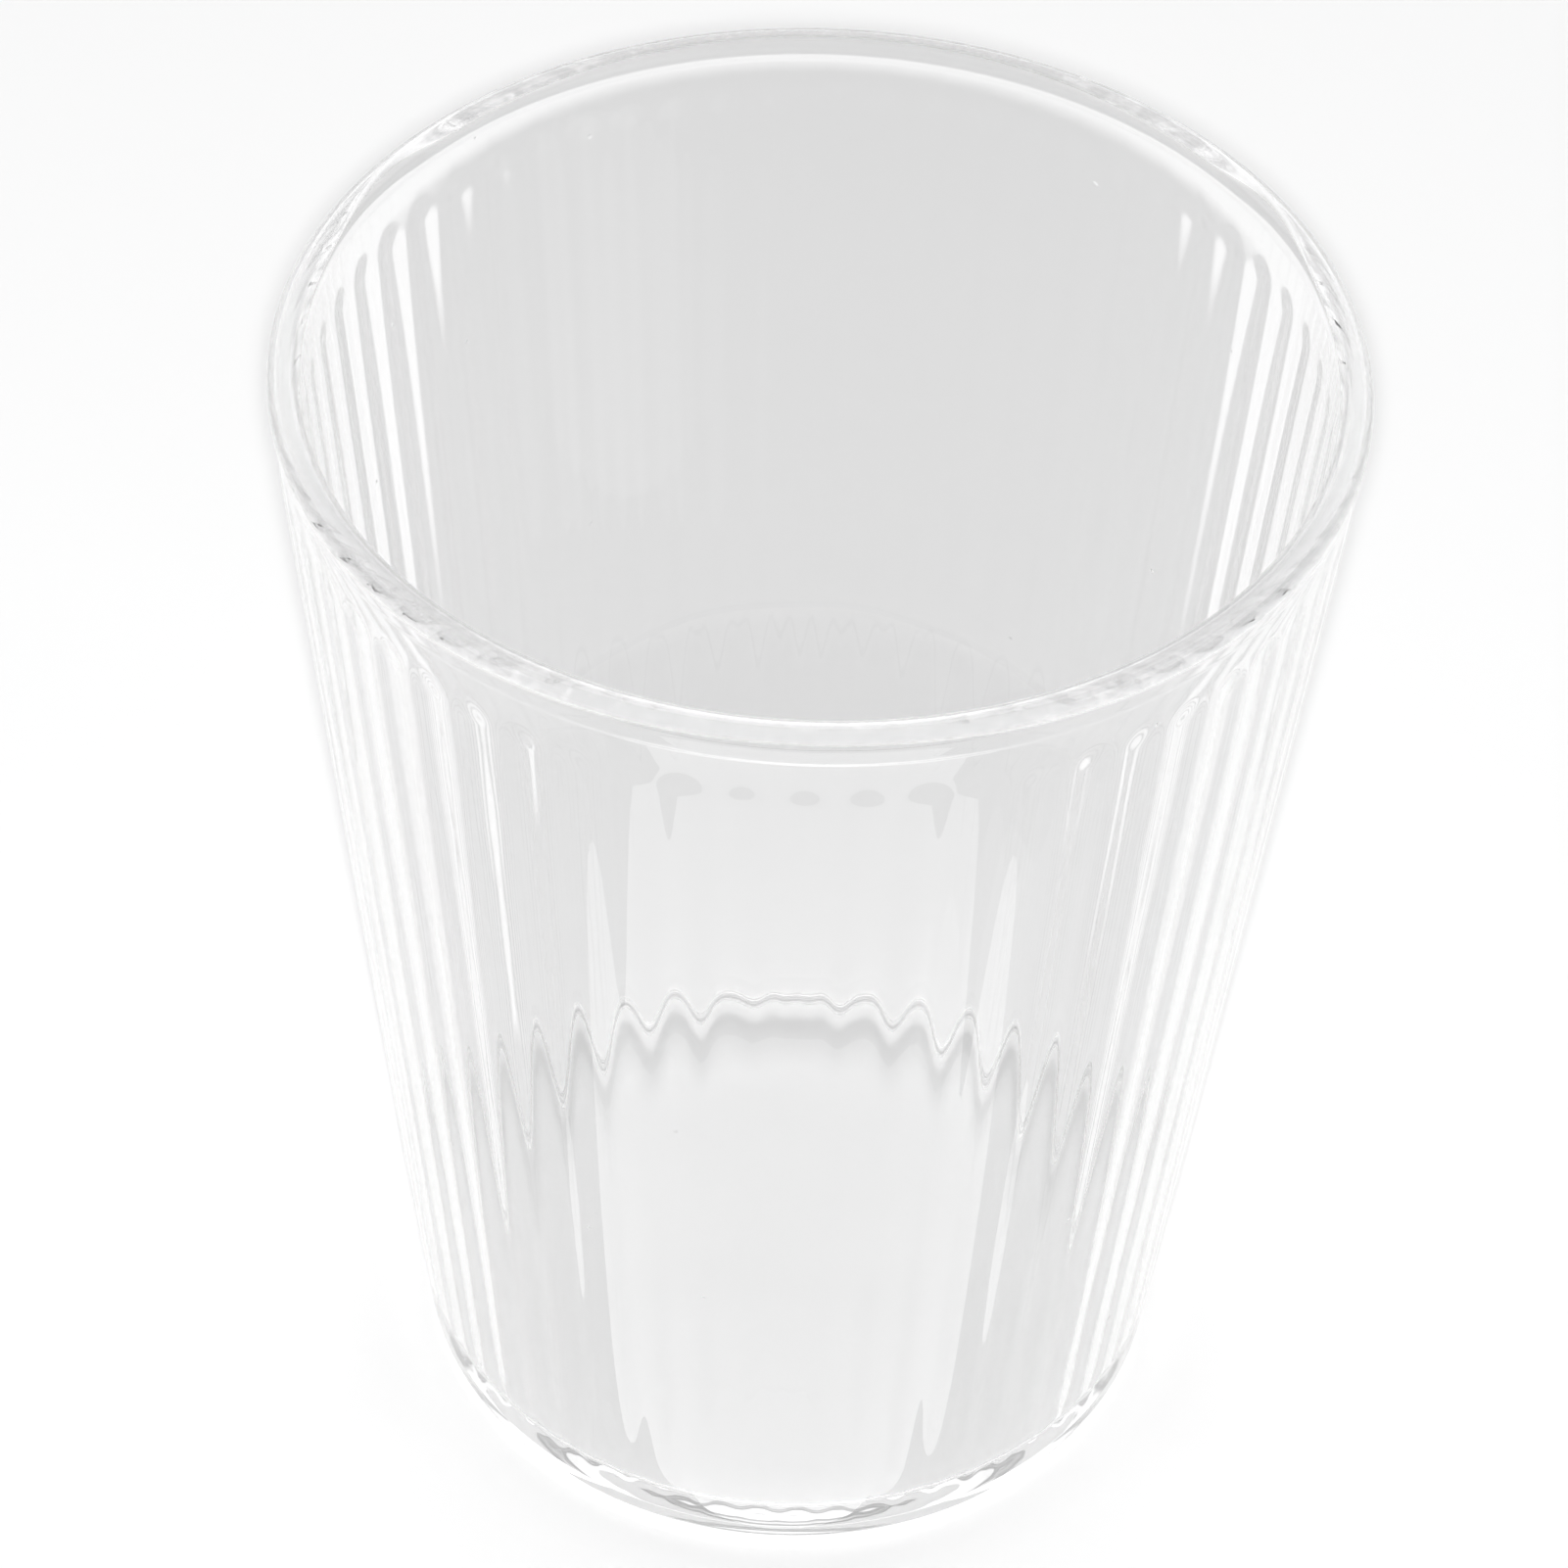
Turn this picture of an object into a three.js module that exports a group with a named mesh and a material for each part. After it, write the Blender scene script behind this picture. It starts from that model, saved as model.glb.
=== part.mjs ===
// A clear tumbler pressed in one piece of glass: a round lip over a short plain neck, upright ribs outside
// with domed ends, a smooth inside, and a thick floor on a hollowed foot.
// Millimetres, +Z up. The origin is the middle of the plane that the glass stands on.
import * as THREE from "three";
import { mergeVertices } from "three/addons/utils/BufferGeometryUtils.js";

// Body
const HEIGHT = 101;
const RIM_DIAMETER = 80; // over the lip
const BASE_DIAMETER = 62; // over the rib crests, at the ribs' lower ends
const WALL_THICKNESS = 1.2; // at the floor, from the smooth inside to the valleys between the ribs
const FLOOR_THICKNESS = 4.8; // from the standing plane to the floor inside
const FLOOR_CORNER_RADIUS = 1.2; // inside, where the floor turns up into the wall

// Lip and neck
const LIP_THICKNESS = 2.5; // the lip is a round of this width
const LIP_BAND = 1.2; // from the lip's widest girth down to its lower edge
const LIP_EDGE = 0.5; // height of the rounded step from that edge in to the neck
const NECK_LENGTH = 2; // the plain band from there to the tips of the ribs

// Ribs
const RIB_COUNT = 60;
const RIB_HEIGHT = 0.12; // crest over valley
const RIB_TOP_DOME = 2.5; // length of the domed upper end
const RIB_FOOT_DOME = 7; // length of the domed lower end

// Foot
const FOOT_BAND = 1.2; // the plain band between the heel and the ribs
const HEEL_RADIUS = 1.9;
const BEARING_WIDTH = 3.5; // of the flat ring that the glass stands on
const PUSH_UP = 1.2; // how far the underside is hollowed at its middle

// Facets
const STEPS_PER_RIB = 4;
const LIP_STEPS = 6;
const LIP_EDGE_STEPS = 2;
const FLOOR_CORNER_STEPS = 3;
const HEEL_STEPS = 2;
const PUSH_UP_STEPS = 2;
const TOP_DOME_STEPS = 3;
const FOOT_DOME_STEPS = 2;

// Finish
const GLASS_COLOUR = 0xeef2f1;
const GLASS_ROUGHNESS = 0.03;
const GLASS_OPACITY = 0.35;

const lipRadius = LIP_THICKNESS / 2;
const lipHeight = HEIGHT - lipRadius; // at its widest girth
const neckHeight = lipHeight - LIP_BAND - LIP_EDGE;
const ribTop = neckHeight - NECK_LENGTH;
const ribFoot = HEEL_RADIUS + FOOT_BAND;

// The crests and the lip's outer side lie on a cone from the base to the widest girth of the lip.
const taper = (RIM_DIAMETER - BASE_DIAMETER) / 2 / (lipHeight - ribFoot);
const slope = Math.atan(taper);
const crestRadius = (z) => BASE_DIAMETER / 2 + taper * (z - ribFoot);
const valleyRadius = (z) => crestRadius(z) - RIB_HEIGHT;
const atValley = (z) => new THREE.Vector2(valleyRadius(z), z);

// Points along an arc, as the (radius, height) pairs of a profile.
function arc(centre, radius, from, to, steps) {
  return Array.from({ length: steps + 1 }, (_, i) => {
    const angle = from + ((to - from) * i) / steps;
    return new THREE.Vector2(centre.x + radius * Math.cos(angle), centre.y + radius * Math.sin(angle));
  });
}

// The hollow underside is a shallow cap of a sphere, from the axis out to the bearing ring.
function undersidePoints(capRadius) {
  const sphereRadius = (capRadius ** 2 + PUSH_UP ** 2) / (2 * PUSH_UP);
  const centre = new THREE.Vector2(0, PUSH_UP - sphereRadius);
  const edge = Math.acos(capRadius / sphereRadius);
  const cap = arc(centre, sphereRadius, Math.PI / 2, edge, PUSH_UP_STEPS);
  cap[0].x = 0; // exactly on the axis
  return cap;
}

// The bearing ring and the heel that rounds it off.
function footPoints() {
  const inset = HEEL_RADIUS / Math.cos(slope);
  const heelCentre = new THREE.Vector2(valleyRadius(HEEL_RADIUS) - inset, HEEL_RADIUS);
  const heel = arc(heelCentre, HEEL_RADIUS, -Math.PI / 2, -slope, HEEL_STEPS);
  return [...undersidePoints(heelCentre.x - BEARING_WIDTH), ...heel];
}

// Heights of the rows through a rib's domed end, from its shoulder to its tip.
function domeRows(shoulder, tip, steps) {
  return Array.from({ length: steps + 1 }, (_, i) => {
    const sunk = Math.sin((i / steps) * (Math.PI / 2));
    return shoulder + (tip - shoulder) * sunk;
  });
}

// The ribbed stretch of wall, as a row of valley points for each height where the ribs change.
function ribbedPoints() {
  const lowerEnd = domeRows(ribFoot + RIB_FOOT_DOME, ribFoot, FOOT_DOME_STEPS).reverse();
  const upperEnd = domeRows(ribTop - RIB_TOP_DOME, ribTop, TOP_DOME_STEPS);
  return [...lowerEnd, ...upperEnd].map(atValley);
}

// The rounded step out from the neck, the lip's outer side and the round over its top.
function lipPoints() {
  const edge = Array.from({ length: LIP_EDGE_STEPS + 1 }, (_, i) => {
    const share = i / LIP_EDGE_STEPS;
    const z = neckHeight + LIP_EDGE * share;
    const out = (RIB_HEIGHT * (1 - Math.cos(Math.PI * share))) / 2;
    return new THREE.Vector2(valleyRadius(z) + out, z);
  });
  const centre = new THREE.Vector2(RIM_DIAMETER / 2 - lipRadius, lipHeight);
  return [...edge, ...arc(centre, lipRadius, 0, Math.PI, LIP_STEPS)];
}

// The rounded corner where the inside wall meets the floor, and the floor's middle.
// The inside wall runs straight from the lip to this corner.
function floorPoints() {
  const height = FLOOR_THICKNESS + FLOOR_CORNER_RADIUS;
  const inset = WALL_THICKNESS + FLOOR_CORNER_RADIUS / Math.cos(slope);
  const centre = new THREE.Vector2(valleyRadius(height) - inset, height);
  const corner = arc(centre, FLOOR_CORNER_RADIUS, -slope, -Math.PI / 2, FLOOR_CORNER_STEPS);
  return [...corner, new THREE.Vector2(0, FLOOR_THICKNESS)];
}

// How far the glass stands out over the valleys, on a rib and in its domed ends.
// across runs from 0 on the crest to 1 in the valley.
function ribRise(across, z) {
  const intoTop = (z - (ribTop - RIB_TOP_DOME)) / RIB_TOP_DOME;
  const intoFoot = (ribFoot + RIB_FOOT_DOME - z) / RIB_FOOT_DOME;
  const sunk = Math.max(0, intoTop, intoFoot);
  const fromCrest = Math.min(1, Math.hypot(across, sunk));
  return (RIB_HEIGHT * (1 + Math.cos(Math.PI * fromCrest))) / 2;
}

// The section is turned about the axis, and the ribbed rows are then pushed out to the ribs' surface.
function tumblerGeometry() {
  const foot = footPoints();
  const ribbed = ribbedPoints();
  const section = [...foot, ...ribbed, ...lipPoints(), ...floorPoints()];
  const turns = RIB_COUNT * STEPS_PER_RIB;
  const turned = new THREE.LatheGeometry(section, turns);
  const position = turned.getAttribute("position");
  for (let turn = 0; turn <= turns; turn++) {
    const across = 1 - Math.abs(((turn % STEPS_PER_RIB) / STEPS_PER_RIB) * 2 - 1);
    ribbed.forEach(({ x: valley, y: z }, row) => {
      const vertex = turn * section.length + foot.length + row;
      const spread = 1 + ribRise(across, z) / valley;
      position.setX(vertex, position.getX(vertex) * spread);
      position.setZ(vertex, position.getZ(vertex) * spread);
    });
  }
  turned.deleteAttribute("normal");
  turned.deleteAttribute("uv");
  turned.rotateX(Math.PI / 2);
  const closed = mergeVertices(turned);
  closed.computeVertexNormals();
  return closed;
}

const pressedGlass = new THREE.MeshStandardMaterial({
  color: GLASS_COLOUR,
  roughness: GLASS_ROUGHNESS,
  metalness: 0,
  transparent: true,
  opacity: GLASS_OPACITY,
});

const tumbler = new THREE.Mesh(tumblerGeometry(), pressedGlass);
tumbler.name = "tumbler";

const drinkingGlass = new THREE.Group();
drinkingGlass.add(tumbler);

export default drinkingGlass;
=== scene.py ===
"""A clear ribbed drinking glass, pressed in one piece, on a pale floor in soft studio light."""
import math
import random

import bpy
from mathutils import Matrix, Vector, noise


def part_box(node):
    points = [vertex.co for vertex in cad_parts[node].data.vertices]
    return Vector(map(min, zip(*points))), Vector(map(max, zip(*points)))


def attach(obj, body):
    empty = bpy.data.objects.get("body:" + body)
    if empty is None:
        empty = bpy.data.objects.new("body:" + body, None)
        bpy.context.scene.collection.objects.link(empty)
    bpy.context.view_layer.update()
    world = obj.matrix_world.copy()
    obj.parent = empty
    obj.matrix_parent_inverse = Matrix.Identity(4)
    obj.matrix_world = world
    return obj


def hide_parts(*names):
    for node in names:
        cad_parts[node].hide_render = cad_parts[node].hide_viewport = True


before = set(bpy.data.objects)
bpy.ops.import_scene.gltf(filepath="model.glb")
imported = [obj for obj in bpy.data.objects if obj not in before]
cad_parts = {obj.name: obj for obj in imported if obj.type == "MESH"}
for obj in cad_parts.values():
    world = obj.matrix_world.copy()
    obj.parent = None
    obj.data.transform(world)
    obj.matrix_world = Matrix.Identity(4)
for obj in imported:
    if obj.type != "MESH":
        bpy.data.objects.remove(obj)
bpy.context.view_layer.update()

MM = 0.001

# The glass. Its height and width are the frame's, and the rest are real sizes in metres.
_, top_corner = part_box("tumbler")
HEIGHT = top_corner.z
RIM_RADIUS = top_corner.x
BASE_RADIUS = 31 * MM  # over the rib crests, at the ribs' lower ends
WALL_THICKNESS = 1.2 * MM  # from the smooth inside to the valleys
FLOOR_THICKNESS = 4.8 * MM
FLOOR_CORNER_RADIUS = 1.2 * MM
LIP_RADIUS = 1.25 * MM
LIP_BAND = 1.2 * MM  # from the lip's widest girth down to its lower edge
LIP_EDGE = 0.5 * MM  # height of the rounded step from that edge in to the neck
NECK_LENGTH = 2 * MM
RIB_COUNT = 60
RIB_HEIGHT = 0.12 * MM
RIB_TOP_DOME = 2.5 * MM
RIB_FOOT_DOME = 7 * MM
FOOT_BAND = 1.2 * MM
HEEL_RADIUS = 1.9 * MM
BEARING_WIDTH = 3.5 * MM
PUSH_UP = 1.2 * MM

# Pressed glass is never quite even
RIB_SPREAD = 0.2  # how much the ribs differ in height, as a share of it
RIB_SEED = 5
SWELL_DEPTH = 0.02 * MM  # of the slow swells in the wall
SWELL_SIZE = 9 * MM
SWELL_FADE = 6 * MM  # towards the lip and the foot they die out
SWELL_SHIFT = 50  # in swells, so that the outside and the inside differ

# How finely the glass is drawn
STEPS_PER_RIB = 20
DOME_STEPS = 10
ROUND_STEPS = 14
LIP_STEPS = 42
WALL_STEPS = 30
GUARD = 0.2 * MM  # rows this close to a bend keep the flats beside it flat

# The camera, from the photograph's viewing angle
CAMERA_PLACE = Vector((0, -290, 343.4)) * MM
CAMERA_AIM = Vector((-1.66, 0, 57.16)) * MM
CAMERA_ROLL = math.radians(1.9)
CAMERA_LENS = 119.74
SENSOR_WIDTH = 36
CLIP_START = 10 * MM


def linear(hex_colour):
    """An sRGB hex colour as linear RGBA."""
    parts = [int(hex_colour[i:i + 2], 16) / 255 for i in (1, 3, 5)]
    return [p / 12.92 if p <= 0.04045 else ((p + 0.055) / 1.055) ** 2.4 for p in parts] + [1]


def add_node(tree, kind, settings=None, **inputs):
    """Adds a node, sets its properties and sockets, and links the sockets that are given another's output."""
    node = tree.nodes.new(kind)
    for name, value in (settings or {}).items():
        setattr(node, name, value)
    for name, value in inputs.items():
        socket = node.inputs[int(name[1:])] if name[1:].isdigit() else node.inputs[name.replace("_", " ")]
        if isinstance(value, bpy.types.NodeSocket):
            tree.links.new(value, socket)
        else:
            socket.default_value = value
    return node


# The glass's own shape

lip_height = HEIGHT - LIP_RADIUS
neck_height = lip_height - LIP_BAND - LIP_EDGE
rib_top = neck_height - NECK_LENGTH
rib_foot = HEEL_RADIUS + FOOT_BAND
taper = (RIM_RADIUS - BASE_RADIUS) / (lip_height - rib_foot)


def valley_radius(z):
    return BASE_RADIUS + taper * (z - rib_foot) - RIB_HEIGHT


def middle_radius(z):
    """Half-way through the wall."""
    return valley_radius(z) - WALL_THICKNESS / 2


def spread(start, end, steps):
    return [start + (end - start) * i / steps for i in range(steps + 1)]


def arc(centre, radius, start, end, steps):
    x, y = centre
    return [(x + radius * math.cos(a), y + radius * math.sin(a)) for a in spread(start, end, steps)]


def rib_rise(across, z):
    """How far the glass stands out over the valleys: across is 0 on a crest and 1 in a valley."""
    into_top = (z - (rib_top - RIB_TOP_DOME)) / RIB_TOP_DOME
    into_foot = (rib_foot + RIB_FOOT_DOME - z) / RIB_FOOT_DOME
    sunk = max(0, into_top, into_foot)
    return RIB_HEIGHT * (1 + math.cos(math.pi * min(1, math.hypot(across, sunk)))) / 2


def glass_section():
    """(radius, height) rows from under the floor, up the outside, over the lip and down the inside."""
    slope = math.atan(taper)
    heel_centre = (valley_radius(HEEL_RADIUS) - HEEL_RADIUS / math.cos(slope), HEEL_RADIUS)
    cap_radius = heel_centre[0] - BEARING_WIDTH
    sphere_radius = (cap_radius ** 2 + PUSH_UP ** 2) / (2 * PUSH_UP)
    edge = math.acos(cap_radius / sphere_radius)
    rows = arc((0, PUSH_UP - sphere_radius), sphere_radius, math.pi / 2, edge, DOME_STEPS)[1:]
    rows += [(cap_radius + GUARD, 0), (heel_centre[0] - GUARD, 0)]
    rows += arc(heel_centre, HEEL_RADIUS, -math.pi / 2, -slope, ROUND_STEPS)
    heights = [rows[-1][1] + GUARD]
    heights += spread(rib_foot, rib_foot + RIB_FOOT_DOME, DOME_STEPS)
    heights += spread(rib_foot + RIB_FOOT_DOME, rib_top - RIB_TOP_DOME, WALL_STEPS)[1:-1]
    heights += spread(rib_top - RIB_TOP_DOME, rib_top, DOME_STEPS)
    rows += [(valley_radius(z), z) for z in heights]
    for share in spread(0, 1, ROUND_STEPS):
        z = neck_height + LIP_EDGE * share
        rows += [(valley_radius(z) + RIB_HEIGHT * (1 - math.cos(math.pi * share)) / 2, z)]
    lip_centre = (RIM_RADIUS - LIP_RADIUS, lip_height)
    lip = arc(lip_centre, LIP_RADIUS, -slope, math.pi - slope, LIP_STEPS)
    for z in (neck_height + LIP_EDGE + GUARD, lip[0][1] - GUARD):
        rows += [(valley_radius(z) + RIB_HEIGHT, z)]
    rows += lip
    corner_height = FLOOR_THICKNESS + FLOOR_CORNER_RADIUS
    inset = WALL_THICKNESS + FLOOR_CORNER_RADIUS / math.cos(slope)
    corner_centre = (valley_radius(corner_height) - inset, corner_height)
    corner = arc(corner_centre, FLOOR_CORNER_RADIUS, -slope, -math.pi / 2, ROUND_STEPS)
    (lip_foot, high), (wall_foot, low) = rows[-1], corner[0]
    shares = [GUARD / (high - low)] + spread(0, 1, WALL_STEPS)[1:-1] + [1 - GUARD / (high - low)]
    rows += [(lip_foot + (wall_foot - lip_foot) * s, high + (low - high) * s) for s in shares]
    rows += corner + [(corner_centre[0] - GUARD, FLOOR_THICKNESS), (GUARD, FLOOR_THICKNESS)]
    return rows


def wall_swell(place, side):
    """Slow swells of the wall, on its outside (1) and its inside (0)."""
    fade = min((place.z - rib_foot) / SWELL_FADE, (rib_top - place.z) / SWELL_FADE, 1)
    return max(0, fade) * SWELL_DEPTH * noise.noise(place / SWELL_SIZE + Vector((0, 0, side * SWELL_SHIFT)))


def glass_body():
    rows = glass_section()
    turns = RIB_COUNT * STEPS_PER_RIB
    chance = random.Random(RIB_SEED)
    strengths = [1 + RIB_SPREAD * chance.uniform(-1, 1) for _ in range(RIB_COUNT)]
    points = [(0, 0, PUSH_UP)]
    for radius, z in rows:
        outside = radius > middle_radius(z)
        for turn in range(turns):
            angle = 2 * math.pi * turn / turns
            way = Vector((math.sin(angle), -math.cos(angle), 0))
            r = radius
            if rib_foot <= z <= rib_top and radius > RIM_RADIUS / 2:
                r += wall_swell(way * radius + Vector((0, 0, z)), outside)
                if outside:
                    across = abs((turn / STEPS_PER_RIB + 0.5) % 1 * 2 - 1)
                    rib = int(turn / STEPS_PER_RIB + 0.5) % RIB_COUNT
                    r += strengths[rib] * rib_rise(across, z)
            points.append((way.x * r, way.y * r, z))
    points.append((0, 0, FLOOR_THICKNESS))
    last = len(points) - 1
    faces = []
    for turn in range(turns):
        beside = (turn + 1) % turns
        faces.append((0, 1 + beside, 1 + turn))
        for row in range(len(rows) - 1):
            here = 1 + row * turns
            above = here + turns
            faces.append((here + turn, here + beside, above + beside, above + turn))
        end = 1 + (len(rows) - 1) * turns
        faces.append((end + turn, end + beside, last))
    mesh = bpy.data.meshes.new("ribbed_tumbler")
    mesh.from_pydata(points, [], faces)
    mesh.polygons.foreach_set("use_smooth", [True] * len(mesh.polygons))
    mesh.update()
    return mesh


# The glass's finish
GLASS_IOR = 1.52
SEED_SPACING = 8 * MM
SEED_RADIUS = 0.25 * MM
SEED_DEPTH = 0.06 * MM


def pressed_soda_lime_glass():
    """Colourless glass, smooth and bright, with a few seeds: tiny pits that show as dots."""
    material = bpy.data.materials.new("pressed_soda_lime_glass")
    material.use_nodes = True
    tree = material.node_tree
    tree.nodes.clear()
    place = add_node(tree, "ShaderNodeTexCoord").outputs["Object"]
    seeds = add_node(tree, "ShaderNodeTexVoronoi", Vector=place, Scale=1 / SEED_SPACING)
    reach = {"Value": seeds.outputs["Distance"], "From_Max": SEED_RADIUS / SEED_SPACING}
    height = add_node(tree, "ShaderNodeMapRange", **reach).outputs[0]
    pits = add_node(tree, "ShaderNodeBump", Height=height, Distance=SEED_DEPTH)
    shader = add_node(tree, "ShaderNodeBsdfPrincipled", Roughness=0.0, IOR=GLASS_IOR, Normal=pits.outputs[0])
    shader.inputs["Base Color"].default_value = linear("#FFFFFF")
    shader.inputs["Transmission Weight"].default_value = 1
    add_node(tree, "ShaderNodeOutputMaterial", Surface=shader.outputs[0])
    return material


glass = bpy.data.objects.new("ribbed_tumbler", glass_body())
bpy.context.scene.collection.objects.link(glass)
glass.data.materials.append(pressed_soda_lime_glass())
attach(glass, "root")
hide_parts("tumbler")


# Floor
FLOOR_HALF = 1.5
FLOOR_GAP = 0.05 * MM  # a foot of glass touches a table only here and there, so air lies under it
PAPER_ROUGHNESS = 0.9
PAPER_SPECULAR = 0.1


def pale_floor():
    """A sheet of matt white paper, which gives a plain pale ground without a gleam."""
    mesh = bpy.data.meshes.new("pale_floor")
    half, level = FLOOR_HALF, -FLOOR_GAP
    corners = [(-half, -half, level), (half, -half, level), (half, half, level), (-half, half, level)]
    mesh.from_pydata(corners, [], [(0, 1, 2, 3)])
    material = bpy.data.materials.new("white_paper")
    material.use_nodes = True
    shader = material.node_tree.nodes["Principled BSDF"]
    shader.inputs["Base Color"].default_value = linear("#EEEEEE")
    shader.inputs["Roughness"].default_value = PAPER_ROUGHNESS
    shader.inputs["Specular IOR Level"].default_value = PAPER_SPECULAR
    mesh.materials.append(material)
    floor = bpy.data.objects.new("pale_floor", mesh)
    bpy.context.scene.collection.objects.link(floor)


pale_floor()


# Light. The studio is plain grey with soft-edged bright panels, which the glass mirrors and bends.
# Each panel is (half width, lowest, highest, strength). Its angles are in degrees, and its middle is behind
# the glass.
STUDIO_GREY = 0.45
PANELS = [
    (190, -12, 15, 0.4),
    (120, 30, 50, 1.4),
    (60, 15, 30, 2.2),
    (60, 50, 70, 0.9),
]
PANEL_EDGE = 8


def studio_world():
    world = bpy.data.worlds.new("studio")
    bpy.context.scene.world = world
    world.use_nodes = True
    tree = world.node_tree
    tree.nodes.clear()

    def maths(operation, a, b=0):
        return add_node(tree, "ShaderNodeMath", {"operation": operation}, _0=a, _1=b).outputs[0]

    def inside(value, low, high):
        """1 between the two angles and 0 beyond them, with a soft edge."""
        off = maths("ABSOLUTE", maths("SUBTRACT", value, (low + high) / 2))
        width = high - low
        edge = {"From_Min": (width + PANEL_EDGE) / 2, "From_Max": (width - PANEL_EDGE) / 2}
        soft = {"interpolation_type": "SMOOTHSTEP"}
        return add_node(tree, "ShaderNodeMapRange", soft, Value=off, **edge).outputs[0]

    way = add_node(tree, "ShaderNodeTexCoord").outputs["Generated"]
    x, y, z = add_node(tree, "ShaderNodeSeparateXYZ", _0=way).outputs
    lift = maths("DEGREES", maths("ARCSINE", z))
    total = STUDIO_GREY
    angle = maths("DEGREES", maths("ARCTAN2", x, y))
    for half, low, high, strength in PANELS:
        seen = maths("MULTIPLY", inside(angle, -half, half), inside(lift, low, high))
        total = maths("ADD", total, maths("MULTIPLY", seen, strength))
    sky = add_node(tree, "ShaderNodeBackground", Strength=total)
    add_node(tree, "ShaderNodeOutputWorld", Surface=sky.outputs[0])


studio_world()

KEY_RADIUS = 5 * MM
KEY_STRENGTH = 20
KEY_CONE = math.radians(60)
KEY_BLEND = 0.8


def key_lamp():
    """A small spot at the lens: seen from there, the glass's shadow falls where only the glass shows it."""
    data = bpy.data.lights.new("key", "SPOT")
    data.shadow_soft_size = KEY_RADIUS
    data.energy = KEY_STRENGTH
    data.spot_size = KEY_CONE
    data.spot_blend = KEY_BLEND
    data.use_nodes = True
    tree = data.node_tree
    tree.nodes.clear()
    even = add_node(tree, "ShaderNodeLightFalloff", Strength=1.0)
    glow = add_node(tree, "ShaderNodeEmission", Strength=even.outputs["Constant"])
    add_node(tree, "ShaderNodeOutputLight", Surface=glow.outputs[0])
    lamp = bpy.data.objects.new("key", data)
    bpy.context.scene.collection.objects.link(lamp)
    way = CAMERA_AIM - CAMERA_PLACE
    lamp.matrix_world = Matrix.Translation(CAMERA_PLACE) @ way.to_track_quat("-Z", "Y").to_matrix().to_4x4()
    lamp.visible_transmission = False
    lamp.visible_glossy = False
    lamp.visible_camera = False


key_lamp()


# Two bright cards low beside the glass, hidden from the camera. Each sends its light one way, so that the
# front wall mirrors the first and the inside of the back wall the second, through the front wall.
# Each is (name, place, point aimed at, width and length, spread in degrees, strength, whether it is seen
# through the glass), in millimetres.
CARDS = [
    ("front_card", (0, -75, 0.2), (0, -75, 100), (110, 86), 108, 0.016, False),
    ("side_card", (62, -34, 18), (-15, 33, 104), (80, 40), 44, 0.00023, True),
]


def bounce_card(name, place, aim, size, spread_angle, strength, seen_through):
    data = bpy.data.lights.new(name, "AREA")
    data.shape = "ELLIPSE"
    data.size = size[0] * MM
    data.size_y = size[1] * MM
    data.spread = math.radians(spread_angle)
    data.energy = strength
    card = bpy.data.objects.new(name, data)
    bpy.context.scene.collection.objects.link(card)
    way = (Vector(aim) - Vector(place)).to_track_quat("-Z", "Y").to_matrix().to_4x4()
    card.matrix_world = Matrix.Translation(Vector(place) * MM) @ way
    card.visible_camera = False
    card.visible_transmission = seen_through


for row in CARDS:
    bounce_card(*row)


def photo_camera():
    data = bpy.data.cameras.new("photo_camera")
    data.lens = CAMERA_LENS
    data.sensor_width = SENSOR_WIDTH
    camera = bpy.data.objects.new("photo_camera", data)
    bpy.context.scene.collection.objects.link(camera)
    aim = (CAMERA_AIM - CAMERA_PLACE).to_track_quat("-Z", "Y").to_matrix().to_4x4()
    camera.matrix_world = Matrix.Translation(CAMERA_PLACE) @ aim @ Matrix.Rotation(CAMERA_ROLL, 4, "Z")
    data.clip_start = CLIP_START
    bpy.context.scene.camera = camera


photo_camera()
bpy.context.scene.view_settings.view_transform = "Standard"

# Light passes through several walls and is carried along inside the lip before it leaves the glass.
BOUNCES = 128
cycles = bpy.context.scene.cycles
cycles.max_bounces = BOUNCES
cycles.transmission_bounces = BOUNCES
cycles.glossy_bounces = BOUNCES
cycles.blur_glossy = 0
